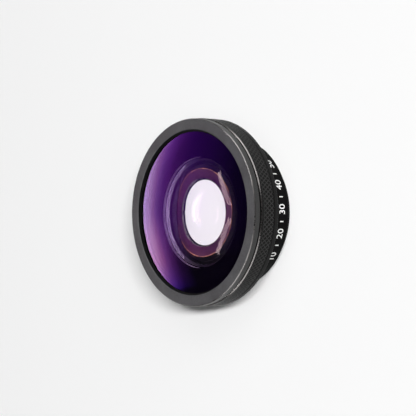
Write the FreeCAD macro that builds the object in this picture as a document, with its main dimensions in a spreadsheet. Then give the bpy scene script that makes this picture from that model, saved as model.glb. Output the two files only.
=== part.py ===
import FreeCAD, Part
import math
import os
import Sketcher

# Wide-angle conversion lens. It stands on its rear end, with the optical axis along +Z.
# The origin is the centre of the rear end face, and the glass front looks up.

SHEET = "Sizes"

# Driving sizes in millimetres. The mount's thread sets the width; walls, steps and clearances lead
# from there out to the grip and in to the stop.
sizes = {
    # Rear mount, a male filter thread M37 that screws into the camera's front
    "mount_thread_radius": 18.5,
    "mount_thread_length": 3.0,
    "mount_wall": 1.6,
    "mount_plug_step": 0.6,
    "mount_plug_length": 2.4,
    # Rear barrel, the smaller printed cylinder behind the grip ring
    "rear_barrel_wall": 1.86,
    "rear_barrel_length": 9.3,
    "rear_barrel_lip": 0.96,
    "joint_tube_wall": 0.9,
    "cell_shelf_width": 3.5,
    # Grip ring with its diamond knurl
    "grip_wall": 1.15,
    "grip_length": 6.4,
    "grip_lip_thickness": 0.9,
    "grip_front_chamfer": 0.45,
    "grip_rear_chamfer": 0.3,
    "grip_band_length": 1.5,
    "knurl_margin": 0.7,
    "knurl_depth": 0.16,
    "knurl_groove_width": 0.3,
    "knurl_count": 60,
    "band_line_width": 0.25,
    "band_line_depth": 0.15,
    # Main barrel, the cup that holds the front glass
    "barrel_thread_wall": 0.7,
    "barrel_thread_length": 3.3,
    "barrel_floor_thickness": 0.9,
    "baffle_ledge_width": 0.45,
    # Front ring, the flat bezel screwed over the barrel's front
    "groove_width": 0.5,
    "front_rim": 1.0,
    "front_height": 1.8,
    "front_chamfer": 0.3,
    "bore_chamfer": 0.12,
    "front_lip_width": 0.6,
    "front_bore_depth": 1.73,
    "skirt_wall": 0.7,
    "skirt_gap": 0.23,
    # Front glass, a negative meniscus with a hollow rear
    "glass_seat_width": 4.5,
    "front_curve_radius": 400.0,
    "glass_rise": 1.22,
    "hollow_curve_radius": 52.0,
    "hollow_gap": 0.32,
    "hollow_margin": 1.45,
    "gasket_thickness": 0.25,
    "shim_thickness": 0.15,
    "shim_inset": 0.5,
    # Lens cell with the rear doublet
    "cell_wall": 0.76,
    "cell_shelf_depth": 3.3,
    "cell_flange_thickness": 0.9,
    "cell_step_height": 0.4,
    "nose_wall": 0.95,
    "nose_height": 2.2,
    "crown_curve_radius": 200.0,
    "crown_edge_drop": 0.35,
    "crown_step": 3.0,
    "cement_curve_radius": 45.0,
    "flint_step": 0.6,
    "flint_edge": 4.0,
    "flint_curve_radius": 39.0,
    "flint_shim_thickness": 0.15,
    "flint_shim_width": 0.6,
    "retainer_width": 1.2,
    "retainer_height": 1.25,
    "retainer_notch_width": 1.2,
    "retainer_notch_depth": 0.6,
    # Stop and cap on the nose of the cell
    "stop_cover": 2.6,
    "stop_thickness": 0.1,
    "cap_bore_step": 0.1,
    "cap_bore_chamfer": 0.3,
    "cap_thickness": 0.6,
    "cap_wall": 0.66,
    "cap_bevel_width": 1.3,
    "cap_bevel_drop": 0.7,
    "cap_skirt_length": 1.4,
    # Ridged light baffle between the cap and the barrel
    "baffle_gap": 0.22,
    "baffle_ridges": 6,
    "baffle_ridge_depth": 0.3,
    # Cell screws
    "screw_head_radius": 0.95,
    "screw_head_height": 0.6,
    "screw_shank_radius": 0.6,
    "screw_length": 2.6,
    "screw_slot_width": 0.25,
    "screw_slot_depth": 0.25,
    "screw_count": 3,
    # Sealing rings, with the radius of their round section
    "front_seal_section": 0.3,
    "cell_seal_section": 0.4,
    "cell_seal_inset": 0.2,
    "mount_seal_section": 0.35,
    "seal_groove_width": 1.0,
    # Fits
    "thread_clearance": 0.04,
    "glass_clearance": 0.05,
    "slip_clearance": 0.05,
    "cell_clearance": 0.1,
    "screw_clearance": 0.1,
    "ring_clearance": 0.15,
    "head_clearance": 0.3,
}


def size(name):
    return SHEET + "." + name


def add(*terms):
    return "(" + " + ".join(terms) + ")"


def less(first, *terms):
    return "(" + " - ".join((first,) + terms) + ")"


def sag(curve, radius):
    return "({0} - sqrt({0}^2 - {1}^2))".format(curve, radius)


def half(expression):
    return "(" + expression + " / 2)"


# Radii from the mount's thread outwards
mount_bore = less(size("mount_thread_radius"), size("mount_wall"))
plug_radius = add(size("mount_thread_radius"), size("mount_plug_step"))
plug_bore = add(plug_radius, size("thread_clearance"))
rear_barrel_radius = add(plug_bore, size("rear_barrel_wall"))
joint_bore = less(rear_barrel_radius, size("rear_barrel_lip"))
joint_tube_radius = less(joint_bore, size("thread_clearance"))
tube_bore = less(joint_tube_radius, size("joint_tube_wall"))
ledge_bore = less(tube_bore, size("baffle_ledge_width"))
glass_step = less(tube_bore, size("ring_clearance"))
front_glass_radius = add(tube_bore, size("glass_seat_width"))
cup_bore = add(front_glass_radius, size("glass_clearance"))
barrel_thread_radius = add(cup_bore, size("barrel_thread_wall"))
skirt_bore = add(barrel_thread_radius, size("slip_clearance"))
barrel_radius = add(skirt_bore, size("skirt_wall"))
grip_bore = add(barrel_radius, size("slip_clearance"))
grip_radius = add(grip_bore, size("grip_wall"))
front_radius = add(barrel_radius, size("front_rim"))
front_bore = less(front_glass_radius, size("front_lip_width"))
glass_land = add(front_bore, size("glass_clearance"))
glass_crown_radius = less(front_bore, size("glass_clearance"))

# Radii from the joint tube inwards
cell_bore = less(joint_tube_radius, size("cell_shelf_width"))
cell_radius = less(cell_bore, size("cell_clearance"))
retainer_thread = less(cell_radius, size("cell_wall"))
retainer_radius = less(retainer_thread, size("thread_clearance"))
retainer_bore = less(retainer_radius, size("retainer_width"))
flint_radius = less(retainer_radius, size("flint_step"))
flint_bore = add(flint_radius, size("glass_clearance"))
crown_radius = less(flint_radius, size("crown_step"))
crown_bore = add(crown_radius, size("glass_clearance"))
nose_radius = add(crown_bore, size("nose_wall"))
stop_radius = less(crown_radius, size("stop_cover"))
cap_bore = add(stop_radius, size("cap_bore_step"))
cap_skirt_bore = add(nose_radius, size("thread_clearance"))
cap_radius = add(cap_skirt_bore, size("cap_wall"))
cap_flat_radius = less(cap_radius, size("cap_bevel_width"))
hollow_radius = add(cap_radius, size("hollow_margin"))
baffle_bore = add(cap_radius, size("ring_clearance"))
baffle_rim = less(tube_bore, size("slip_clearance"))
flange_rim = less(joint_tube_radius, size("slip_clearance"))
screw_circle = less(ledge_bore, size("screw_head_radius"), size("screw_clearance"))

# Levels along the axis, counted up from the rear end face
rear_end = "0"
axis = "0"
shoulder = size("mount_thread_length")
plug_top = add(shoulder, size("mount_plug_length"))
barrel_top = add(shoulder, size("rear_barrel_length"))
grip_top = add(barrel_top, size("grip_length"))
band_top = add(barrel_top, size("grip_band_length"))
line_top = add(band_top, size("band_line_width"))
knurl_top = less(grip_top, size("knurl_margin"))
ring_rear = add(grip_top, size("groove_width"))
face = add(ring_rear, size("front_height"))
lip = less(face, size("front_bore_depth"))
glass_front = less(lip, size("gasket_thickness"))
glass_crown = add(glass_front, size("glass_rise"))
floor_rear = add(barrel_top, size("grip_lip_thickness"))
floor_front = add(floor_rear, size("barrel_floor_thickness"))
glass_seat = add(floor_front, size("shim_thickness"))
thread_rear = less(lip, size("barrel_thread_length"))
skirt_end = add(thread_rear, size("front_seal_section"), size("front_seal_section"), size("skirt_gap"))
cell_shelf = less(barrel_top, size("cell_shelf_depth"))
flange_top = add(cell_shelf, size("cell_flange_thickness"))
flint_seat = less(cell_shelf, size("cell_step_height"))
flint_rear = less(flint_seat, size("flint_edge"))
retainer_front = less(flint_rear, size("flint_shim_thickness"))
cell_rear = less(retainer_front, size("retainer_height"))
nose_top = add(flange_top, size("nose_height"))
crown_front = less(nose_top, size("crown_edge_drop"))
stop_front = add(nose_top, size("stop_thickness"))
cap_front = add(stop_front, size("cap_thickness"))
hollow_vertex = add(cap_front, size("hollow_gap"), sag(size("hollow_curve_radius"), cap_flat_radius))
hollow_rim = less(hollow_vertex, sag(size("hollow_curve_radius"), hollow_radius))
baffle_rear = add(flange_top, size("screw_head_height"), size("head_clearance"))
baffle_top = less(hollow_rim, size("baffle_gap"))

document = FreeCAD.newDocument("ConversionLens")
sheet = document.addObject("Spreadsheet::Sheet", SHEET)
for row, (alias, number) in enumerate(sizes.items(), start=1):
    sheet.set("A%d" % row, alias)
    sheet.set("B%d" % row, str(number))
    sheet.setAlias("B%d" % row, alias)
document.recompute()


def value(expression):
    """The present value of an expression over the sheet, for the first sketch of a shape."""
    return float(sheet.evalExpression(expression))


def count(name):
    return int(round(value(size(name))))


def origin_feature(body, role):
    for feature in body.Origin.OriginFeatures:
        if feature.Role == role:
            return feature
    raise ValueError(role)


def flat_sketch(body, name, role):
    sketch = body.newObject("Sketcher::SketchObject", name)
    sketch.AttachmentSupport = [(origin_feature(body, role), "")]
    sketch.MapMode = "FlatFace"
    return sketch


def bind(sketch, constraint, expression):
    index = sketch.addConstraint(constraint)
    sketch.setExpression("Constraints[%d]" % index, expression)


def pin_point(sketch, geometry, end, across, up):
    """Hold one end of an edge at its distance from the axis and its level."""
    for kind, expression, line in (("DistanceX", across, -2), ("DistanceY", up, -1)):
        if expression == "0":
            sketch.addConstraint(Sketcher.Constraint("PointOnObject", geometry, end, line))
        else:
            bind(sketch, Sketcher.Constraint(kind, geometry, end, value(expression)), expression)


def arc_edge(start, end, radius):
    """A round edge from start to end, with its centre on the optical axis."""
    chord = (end - start) / 2
    height = math.sqrt(radius**2 - chord.Length**2)
    normal = FreeCAD.Vector(-chord.y, chord.x, 0).normalize()
    middle = start + chord
    centres = [middle + normal * height, middle - normal * height]
    centre = min(centres, key=lambda point: abs(point.x))
    circle = Part.Circle(centre, FreeCAD.Vector(0, 0, 1), radius)
    first = math.atan2(start.y - centre.y, start.x - centre.x)
    last = math.atan2(end.y - centre.y, end.x - centre.x)
    forward = (last - first) % (2 * math.pi) < math.pi
    if forward:
        return Part.ArcOfCircle(circle, first, last), True
    return Part.ArcOfCircle(circle, last, first), False


def closed_outline(sketch, points, arcs):
    """Draw a closed outline through points; arcs maps an edge's index to its curve radius."""
    corners = [FreeCAD.Vector(value(across), value(up), 0) for across, up in points]
    ends = []
    for index, start in enumerate(corners):
        end = corners[(index + 1) % len(corners)]
        if index in arcs:
            edge, forward = arc_edge(start, end, value(arcs[index]))
        else:
            edge, forward = Part.LineSegment(start, end), True
        geometry = sketch.addGeometry(edge, False)
        ends.append((geometry, (1, 2) if forward else (2, 1)))
    for index, (geometry, order) in enumerate(ends):
        following, following_order = ends[(index + 1) % len(ends)]
        joint = Sketcher.Constraint("Coincident", geometry, order[1], following, following_order[0])
        sketch.addConstraint(joint)
    for index, (geometry, order) in enumerate(ends):
        pin_point(sketch, geometry, order[0], *points[index])
        if index in arcs:
            radius = Sketcher.Constraint("Radius", geometry, value(arcs[index]))
            bind(sketch, radius, arcs[index])


def turned(label, points, arcs=None):
    """A body turned about the optical axis from a half section in the XZ plane."""
    body = document.addObject("PartDesign::Body", label)
    body.Label = label
    sketch = flat_sketch(body, label + "_section", "XZ_Plane")
    closed_outline(sketch, points, arcs or {})
    turning = body.newObject("PartDesign::Revolution", label + "_turning")
    turning.Profile = sketch
    turning.ReferenceAxis = (sketch, ["V_Axis"])
    turning.Angle = 360
    sketch.Visibility = False
    body.Tip = turning
    return body


def hollow(body, name, points, arcs=None):
    """A turned groove cut into a body."""
    sketch = flat_sketch(body, name + "_section", "XZ_Plane")
    closed_outline(sketch, points, arcs or {})
    cut = body.newObject("PartDesign::Groove", name)
    cut.Profile = sketch
    cut.ReferenceAxis = (sketch, ["V_Axis"])
    cut.Angle = 360
    sketch.Visibility = False
    body.Tip = cut
    return cut


def around(body, feature, name, copies):
    """Repeat a feature of a body about the optical axis."""
    pattern = body.newObject("PartDesign::PolarPattern", name)
    pattern.Originals = [feature]
    pattern.Axis = (origin_feature(body, "Z_Axis"), [""])
    pattern.Angle = 360
    pattern.setExpression("Occurrences", copies)
    body.Tip = pattern
    return pattern


def washer(label, inner, outer, bottom, top):
    return turned(label, [(inner, bottom), (outer, bottom), (outer, top), (inner, top)])


def seal(label, middle, level, section):
    """A rubber ring of round section."""
    ring = document.addObject("Part::Torus", label)
    ring.Label = label
    ring.setExpression("Radius1", middle)
    ring.setExpression("Radius2", section)
    ring.setExpression("Placement.Base.z", level)
    return ring


def make_front_ring():
    chamfer = size("front_chamfer")
    return turned("front_ring", [
        (front_bore, lip),
        (skirt_bore, lip),
        (skirt_bore, skirt_end),
        (barrel_radius, skirt_end),
        (barrel_radius, ring_rear),
        (front_radius, ring_rear),
        (front_radius, less(face, chamfer)),
        (less(front_radius, chamfer), face),
        (add(front_bore, size("bore_chamfer")), face),
        (front_bore, less(face, size("bore_chamfer"))),
    ])


def make_front_glass():
    curve = size("front_curve_radius")
    return turned("front_glass", [
        (axis, hollow_vertex),
        (hollow_radius, hollow_rim),
        (glass_step, hollow_rim),
        (glass_step, glass_seat),
        (front_glass_radius, glass_seat),
        (front_glass_radius, glass_front),
        (glass_crown_radius, glass_front),
        (glass_crown_radius, glass_crown),
        (axis, add(glass_crown, sag(curve, glass_crown_radius))),
    ], {0: size("hollow_curve_radius"), 7: curve})


def make_front_gasket():
    return washer("front_gasket", glass_land, front_glass_radius, glass_front, lip)


def make_seat_shim():
    inner = add(tube_bore, size("shim_inset"))
    return washer("seat_shim", inner, front_glass_radius, floor_front, glass_seat)


def make_main_barrel():
    return turned("main_barrel", [
        (ledge_bore, flange_top),
        (joint_tube_radius, flange_top),
        (joint_tube_radius, floor_rear),
        (barrel_radius, floor_rear),
        (barrel_radius, thread_rear),
        (barrel_thread_radius, thread_rear),
        (barrel_thread_radius, lip),
        (cup_bore, lip),
        (cup_bore, floor_front),
        (tube_bore, floor_front),
        (tube_bore, baffle_rear),
        (ledge_bore, baffle_rear),
    ])


def make_front_seal():
    section = size("front_seal_section")
    middle = add(barrel_thread_radius, section, size("slip_clearance"))
    return seal("front_seal", middle, add(thread_rear, section), section)


def make_grip_ring():
    front_chamfer = size("grip_front_chamfer")
    rear_chamfer = size("grip_rear_chamfer")
    blank = turned("grip_blank", [
        (joint_bore, barrel_top),
        (less(grip_radius, rear_chamfer), barrel_top),
        (grip_radius, add(barrel_top, rear_chamfer)),
        (grip_radius, band_top),
        (less(grip_radius, size("band_line_depth")), add(band_top, half(size("band_line_width")))),
        (grip_radius, line_top),
        (grip_radius, less(grip_top, front_chamfer)),
        (less(grip_radius, front_chamfer), grip_top),
        (grip_bore, grip_top),
        (grip_bore, floor_rear),
        (joint_bore, floor_rear),
    ])
    left = knurl_cut("left_knurl", blank, -1)
    return knurl_cut("grip_ring", left, 1)


def knurl_cut(label, blank, slant):
    """Cut one of the two sets of slanted grooves of the diamond knurl."""
    depth = value(size("knurl_depth"))
    low = value(line_top)
    high = value(knurl_top)
    side = value(grip_radius) - depth
    shift = value(size("knurl_groove_width")) * math.sqrt(0.5)
    lean = (high - low) / 2 * slant
    corners = [
        FreeCAD.Vector(-lean - shift, side, low),
        FreeCAD.Vector(-lean + shift, side, low),
        FreeCAD.Vector(lean + shift, side, high),
        FreeCAD.Vector(lean - shift, side, high),
    ]
    outline = Part.Face(Part.makePolygon(corners + corners[:1]))
    groove = outline.extrude(FreeCAD.Vector(0, 4 * depth, 0))
    copies = count("knurl_count")
    grooves = []
    for index in range(copies):
        copy = groove.copy()
        copy.rotate(FreeCAD.Vector(0, 0, 0), FreeCAD.Vector(0, 0, 1), 360 * index / copies)
        grooves.append(copy)
    tools = document.addObject("Part::Feature", label + "_grooves")
    tools.Shape = Part.makeCompound(grooves)
    cut = document.addObject("Part::Cut", label)
    cut.Label = label
    cut.Base = blank
    cut.Tool = tools
    cut.Refine = False
    return cut


def make_rear_barrel():
    body = turned("rear_barrel", [
        (cell_bore, plug_top),
        (plug_bore, plug_top),
        (plug_bore, shoulder),
        (less(rear_barrel_radius, size("front_chamfer")), shoulder),
        (rear_barrel_radius, add(shoulder, size("front_chamfer"))),
        (rear_barrel_radius, barrel_top),
        (joint_bore, barrel_top),
        (joint_bore, cell_shelf),
        (cell_bore, cell_shelf),
    ])
    reach = add(size("screw_length"), size("slip_clearance"))
    cut = round_cut(body, "screw_hole", "screw_shank_radius", cell_shelf, reach)
    around(body, cut, "screw_holes", size("screw_count"))
    return body


def round_cut(body, name, radius_name, level, depth):
    """A round hole down from a level, on the screw circle."""
    sketch = flat_sketch(body, name + "_section", "XY_Plane")
    sketch.setExpression("AttachmentOffset.Base.z", level)
    radius = add(size(radius_name), size("slip_clearance"))
    centre = FreeCAD.Vector(0, value(screw_circle), 0)
    circle = Part.Circle(centre, FreeCAD.Vector(0, 0, 1), value(radius))
    geometry = sketch.addGeometry(circle, False)
    sketch.addConstraint(Sketcher.Constraint("PointOnObject", geometry, 3, -2))
    bind(sketch, Sketcher.Constraint("DistanceY", geometry, 3, value(screw_circle)), screw_circle)
    bind(sketch, Sketcher.Constraint("Radius", geometry, value(radius)), radius)
    cut = body.newObject("PartDesign::Pocket", name)
    cut.Profile = sketch
    cut.setExpression("Length", depth)
    sketch.Visibility = False
    body.Tip = cut
    return cut


def make_lens_cell():
    body = turned("lens_cell", [
        (flint_bore, cell_rear),
        (cell_radius, cell_rear),
        (cell_radius, cell_shelf),
        (flange_rim, cell_shelf),
        (flange_rim, flange_top),
        (nose_radius, flange_top),
        (nose_radius, nose_top),
        (crown_bore, nose_top),
        (crown_bore, flint_seat),
        (flint_bore, flint_seat),
    ])
    hollow(body, "retainer_thread", [
        (axis, cell_rear),
        (retainer_thread, cell_rear),
        (retainer_thread, retainer_front),
        (axis, retainer_front),
    ])
    depth = add(size("cell_seal_section"), size("cell_seal_section"), size("glass_clearance"))
    groove_floor = less(cell_radius, depth)
    groove_rear = add(plug_top, size("cell_seal_inset"))
    groove_front = add(groove_rear, size("seal_groove_width"))
    hollow(body, "seal_groove", [
        (groove_floor, groove_rear),
        (rear_barrel_radius, groove_rear),
        (rear_barrel_radius, groove_front),
        (groove_floor, groove_front),
    ])
    cut = round_cut(body, "screw_hole", "screw_shank_radius", flange_top, size("cell_flange_thickness"))
    around(body, cut, "screw_holes", size("screw_count"))
    return body


def make_cell_seal():
    section = size("cell_seal_section")
    middle = less(cell_radius, section, half(size("glass_clearance")))
    level = add(plug_top, size("cell_seal_inset"), half(size("seal_groove_width")))
    return seal("cell_seal", middle, level, section)


def make_cell_screws():
    """Cheese-head screws on one circle, as separate solids in one node."""
    group = document.addObject("Part::Feature", "cell_screws")
    group.Label = "cell_screws"
    head_base = FreeCAD.Vector(value(screw_circle), 0, value(flange_top))
    head_height = value(size("screw_head_height"))
    head_radius = value(size("screw_head_radius"))
    length = value(size("screw_length"))
    down = FreeCAD.Vector(0, 0, -1)
    head = Part.makeCylinder(head_radius, head_height, head_base)
    shank_length = length + value(size("cell_flange_thickness"))
    shank = Part.makeCylinder(value(size("screw_shank_radius")), shank_length, head_base, down)
    slot_width = value(size("screw_slot_width"))
    slot_depth = value(size("screw_slot_depth"))
    slot_corner = head_base + FreeCAD.Vector(-slot_width / 2, -head_radius, head_height - slot_depth)
    slot = Part.makeBox(slot_width, 2 * head_radius, slot_depth, slot_corner)
    screw = head.fuse(shank).removeSplitter().cut(slot)
    copies = count("screw_count")
    screws = []
    for index in range(copies):
        turned_screw = screw.copy()
        angle = 90 + 360 * index / copies
        turned_screw.rotate(FreeCAD.Vector(0, 0, 0), FreeCAD.Vector(0, 0, 1), angle)
        screws.append(turned_screw)
    group.Shape = Part.makeCompound(screws)
    return group


def make_crown_element():
    front_curve = size("crown_curve_radius")
    cement_curve = size("cement_curve_radius")
    return turned("crown_element", [
        (axis, less(flint_seat, sag(cement_curve, crown_radius))),
        (crown_radius, flint_seat),
        (crown_radius, crown_front),
        (axis, add(crown_front, sag(front_curve, crown_radius))),
    ], {0: cement_curve, 2: front_curve})


def make_flint_element():
    cement_curve = size("cement_curve_radius")
    rear_curve = size("flint_curve_radius")
    dome_radius = less(retainer_bore, size("glass_clearance"))
    return turned("flint_element", [
        (axis, less(flint_rear, sag(rear_curve, dome_radius))),
        (dome_radius, flint_rear),
        (flint_radius, flint_rear),
        (flint_radius, flint_seat),
        (crown_radius, flint_seat),
        (axis, less(flint_seat, sag(cement_curve, crown_radius))),
    ], {0: rear_curve, 4: cement_curve})


def make_flint_shim():
    inner = less(flint_radius, size("flint_shim_width"))
    return washer("flint_shim", inner, flint_radius, retainer_front, flint_rear)


def make_rear_retaining_ring():
    """Threaded ring with two notches for a pin spanner."""
    body = turned("rear_retaining_ring", [
        (retainer_bore, cell_rear),
        (retainer_radius, cell_rear),
        (retainer_radius, retainer_front),
        (retainer_bore, retainer_front),
    ])
    sketch = flat_sketch(body, "notch_section", "XY_Plane")
    sketch.setExpression("AttachmentOffset.Base.z", cell_rear)
    side = value(size("retainer_notch_width")) / 2
    reach = value(retainer_radius) + side
    corners = [(-side, -reach), (side, -reach), (side, reach), (-side, reach)]
    lines = []
    for index, corner in enumerate(corners):
        following = corners[(index + 1) % 4]
        start = FreeCAD.Vector(corner[0], corner[1], 0)
        end = FreeCAD.Vector(following[0], following[1], 0)
        lines.append(sketch.addGeometry(Part.LineSegment(start, end), False))
    half_width = half(size("retainer_notch_width"))
    half_length = add(retainer_radius, half_width)
    for index, line in enumerate(lines):
        following = lines[(index + 1) % 4]
        sketch.addConstraint(Sketcher.Constraint("Coincident", line, 2, following, 1))
        across = ("-" if corners[index][0] < 0 else "") + half_width
        along = ("-" if corners[index][1] < 0 else "") + half_length
        bind(sketch, Sketcher.Constraint("DistanceX", line, 1, corners[index][0]), across)
        bind(sketch, Sketcher.Constraint("DistanceY", line, 1, corners[index][1]), along)
    cut = body.newObject("PartDesign::Pocket", "spanner_notches")
    cut.Profile = sketch
    cut.Reversed = True
    cut.setExpression("Length", size("retainer_notch_depth"))
    sketch.Visibility = False
    body.Tip = cut
    return body


def make_aperture_stop():
    return washer("aperture_stop", stop_radius, nose_radius, nose_top, stop_front)


def make_cell_cap():
    """Bevelled cap screwed over the cell's nose, which holds the stop."""
    cap_end = less(nose_top, size("cap_skirt_length"))
    return turned("cell_cap", [
        (cap_bore, stop_front),
        (cap_skirt_bore, stop_front),
        (cap_skirt_bore, cap_end),
        (cap_radius, cap_end),
        (cap_radius, less(cap_front, size("cap_bevel_drop"))),
        (cap_flat_radius, cap_front),
        (add(cap_bore, size("cap_bore_chamfer")), cap_front),
        (cap_bore, less(cap_front, size("cap_bore_chamfer"))),
    ])


def make_light_baffle():
    """Ring with a stepped row of ridges that catch stray light."""
    ridges = count("baffle_ridges")
    points = [(baffle_bore, baffle_rear), (baffle_rim, baffle_rear), (baffle_rim, baffle_top)]
    span = less(baffle_rim, baffle_bore)
    for ridge in range(ridges):
        valley = less(baffle_rim, "%s * %d / %d" % (span, ridge + 1, ridges))
        points.append((valley, less(baffle_top, size("baffle_ridge_depth"))))
        if ridge < ridges - 1:
            points.append((valley, baffle_top))
    return turned("light_baffle", points)


def make_mount_ring():
    chamfer = size("front_chamfer")
    thread = size("mount_thread_radius")
    body = turned("mount_ring", [
        (mount_bore, rear_end),
        (less(thread, chamfer), rear_end),
        (thread, chamfer),
        (thread, shoulder),
        (plug_radius, shoulder),
        (plug_radius, plug_top),
        (mount_bore, plug_top),
    ])
    depth = add(size("mount_seal_section"), size("mount_seal_section"), size("glass_clearance"))
    groove_floor = less(plug_radius, depth)
    groove_rear = add(shoulder, half(less(size("mount_plug_length"), size("seal_groove_width"))))
    groove_front = add(groove_rear, size("seal_groove_width"))
    hollow(body, "seal_groove", [
        (groove_floor, groove_rear),
        (rear_barrel_radius, groove_rear),
        (rear_barrel_radius, groove_front),
        (groove_floor, groove_front),
    ])
    return body


def make_mount_seal():
    section = size("mount_seal_section")
    middle = less(plug_radius, section, half(size("glass_clearance")))
    level = add(shoulder, half(size("mount_plug_length")))
    return seal("mount_seal", middle, level, section)


parts = [
    make_front_ring(),
    make_front_gasket(),
    make_front_glass(),
    make_seat_shim(),
    make_main_barrel(),
    make_front_seal(),
    make_grip_ring(),
    make_rear_barrel(),
    make_lens_cell(),
    make_cell_seal(),
    make_cell_screws(),
    make_crown_element(),
    make_flint_element(),
    make_flint_shim(),
    make_rear_retaining_ring(),
    make_aperture_stop(),
    make_cell_cap(),
    make_light_baffle(),
    make_mount_ring(),
    make_mount_seal(),
]
document.recompute()

for item in document.Objects:
    if "Invalid" in item.State or "Error" in item.State:
        raise RuntimeError("%s failed: %s" % (item.Name, item.State))

os.makedirs("parts", exist_ok=True)
for piece in parts:
    shape = piece.Shape
    if shape.isNull() or not shape.isValid() or shape.Volume <= 0:
        raise RuntimeError("%s has no valid solid" % piece.Label)
    shape.exportStep("parts/%s.step" % piece.Label)
    print("%-22s %9.2f mm3  solids %d" % (piece.Label, shape.Volume, len(shape.Solids)))
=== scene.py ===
import math

import bmesh
import bpy
from mathutils import Matrix, Vector


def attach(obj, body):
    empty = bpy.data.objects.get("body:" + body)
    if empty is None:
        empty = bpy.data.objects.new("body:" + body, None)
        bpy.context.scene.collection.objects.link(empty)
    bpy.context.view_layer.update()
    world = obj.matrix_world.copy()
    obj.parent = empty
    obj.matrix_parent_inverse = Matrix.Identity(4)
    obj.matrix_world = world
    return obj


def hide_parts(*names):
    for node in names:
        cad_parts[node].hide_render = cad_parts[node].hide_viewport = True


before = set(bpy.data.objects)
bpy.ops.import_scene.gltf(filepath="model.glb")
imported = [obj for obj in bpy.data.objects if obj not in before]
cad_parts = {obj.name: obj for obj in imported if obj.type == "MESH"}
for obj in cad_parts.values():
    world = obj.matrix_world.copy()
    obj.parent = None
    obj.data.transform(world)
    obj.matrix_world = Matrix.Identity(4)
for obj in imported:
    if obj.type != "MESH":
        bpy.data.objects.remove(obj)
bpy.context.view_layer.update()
scene = bpy.context.scene
mm = 0.001  # sizes below are in millimetres, the scene in metres
tiny = 1e-6
print("frame loaded, %d nodes" % len(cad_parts))


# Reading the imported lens

def nodeSpan(node):
    # inner and outer radius, then lowest and highest level of a turned node, in millimetres
    radii = []
    levels = []
    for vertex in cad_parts[node].data.vertices:
        radii.append(math.hypot(vertex.co.x, vertex.co.y) / mm)
        levels.append(vertex.co.z / mm)
    return {"inner": min(radii), "outer": max(radii), "low": min(levels), "high": max(levels)}


spans = {node: nodeSpan(node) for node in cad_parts}


# Sections and turned meshes

rounding = {
    "straight": 12,  # a bend of fewer degrees stays as it is
    "share": 0.3,  # most of an edge that a rounded corner may take
    "margin": 0.5,  # extra points past the corner, as a share of its radius, which keep the faces flat
}


def softened(outline, radius):
    # rounds the corners of a closed section and keeps the faces beside them flat
    rounded = []
    for index, corner in enumerate(outline):
        point = Vector(corner)
        before = Vector(outline[index - 1]) - point
        after = Vector(outline[(index + 1) % len(outline)]) - point
        if abs(before.angle(after) - math.pi) < math.radians(rounding["straight"]):
            rounded.append(corner)
            continue
        cut = min(radius, rounding["share"] * before.length, rounding["share"] * after.length)
        before.normalize()
        after.normalize()
        start = point + before * cut
        end = point + after * cut
        middle = (start + end + point * 2) / 4
        margin = cut * rounding["margin"]
        for place in (start + before * margin, start, middle, end, end + after * margin):
            rounded.append(tuple(place))
    return rounded


def addRows(outline, radius, rows, levels=None):
    # splits the longest straight wall at a radius into rows, or the part of it between two levels
    lengths = []
    for start, end in zip(outline, outline[1:]):
        onWall = abs(start[0] - radius) < tiny and abs(end[0] - radius) < tiny
        lengths.append(end[1] - start[1] if onWall else 0.0)
    wall = lengths.index(max(lengths))
    low, high = levels or (outline[wall][1], outline[wall + 1][1])
    counts = range(rows + 1) if levels else range(1, rows)
    outline[wall + 1:wall + 1] = [(radius, low + (high - low) * row / rows) for row in counts]
    return low, high


def curveLine(vertexLevel, curve, rim, steps):
    # points of a round glass face from the axis to its rim; a negative curve opens downwards
    points = []
    for step in range(steps + 1):
        radius = rim * step / steps
        drop = abs(curve) - math.sqrt(curve * curve - radius * radius)
        points.append((radius, vertexLevel - math.copysign(drop, curve)))
    return points


def turnMesh(name, outline, segments, closed=True, paintOf=None):
    # turns a section about the lens axis; an open section starts and ends on the axis
    mesh = bpy.data.meshes.new(name)
    builder = bmesh.new()
    rings = []
    for radius, level in outline:
        if radius < tiny:
            rings.append([builder.verts.new((0, 0, level * mm))])
            continue
        ring = []
        for index in range(segments):
            angle = 2 * math.pi * index / segments
            place = (radius * mm * math.cos(angle), radius * mm * math.sin(angle), level * mm)
            ring.append(builder.verts.new(place))
        rings.append(ring)
    lastRing = len(rings) if closed else len(rings) - 1
    for step in range(lastRing):
        first = rings[step]
        second = rings[(step + 1) % len(rings)]
        firstEnd = outline[step]
        secondEnd = outline[(step + 1) % len(rings)]
        paint = 0
        if paintOf:
            paint = paintOf((firstEnd[0] + secondEnd[0]) / 2, (firstEnd[1] + secondEnd[1]) / 2)
        for index in range(segments):
            following = (index + 1) % segments
            corners = [first[index % len(first)], first[following % len(first)],
                       second[following % len(second)], second[index % len(second)]]
            corners = list(dict.fromkeys(corners))  # a pole's corner counts once
            face = builder.faces.new(corners)
            face.smooth = True
            face.material_index = paint
    bmesh.ops.recalc_face_normals(builder, faces=builder.faces)
    builder.to_mesh(mesh)
    builder.free()
    return mesh


def newObject(name, data):
    thing = bpy.data.objects.new(name, data)
    scene.collection.objects.link(thing)
    return thing


def addPiece(name, mesh, materials, nodes, sharpAngle=40):
    # a mesh that the cut or paint steps gave its materials keeps them
    piece = newObject(name, mesh)
    mesh.set_sharp_from_angle(angle=math.radians(sharpAngle))
    if not mesh.materials:
        for material in materials:
            mesh.materials.append(material)
    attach(piece, "root")
    if nodes:
        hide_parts(*nodes)


# Grooves cut by rule: the knurl, the bezel's fine hatch and the mount's thread

def valueNode(tree, operation, first, second=None):
    node = tree.nodes.new("ShaderNodeMath")
    node.operation = operation
    for socket, source in zip(node.inputs, (first, second)):
        if source is None:
            continue
        if isinstance(source, (int, float)):
            socket.default_value = source
        else:
            tree.links.new(source, socket)
    return node.outputs[0]


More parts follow.
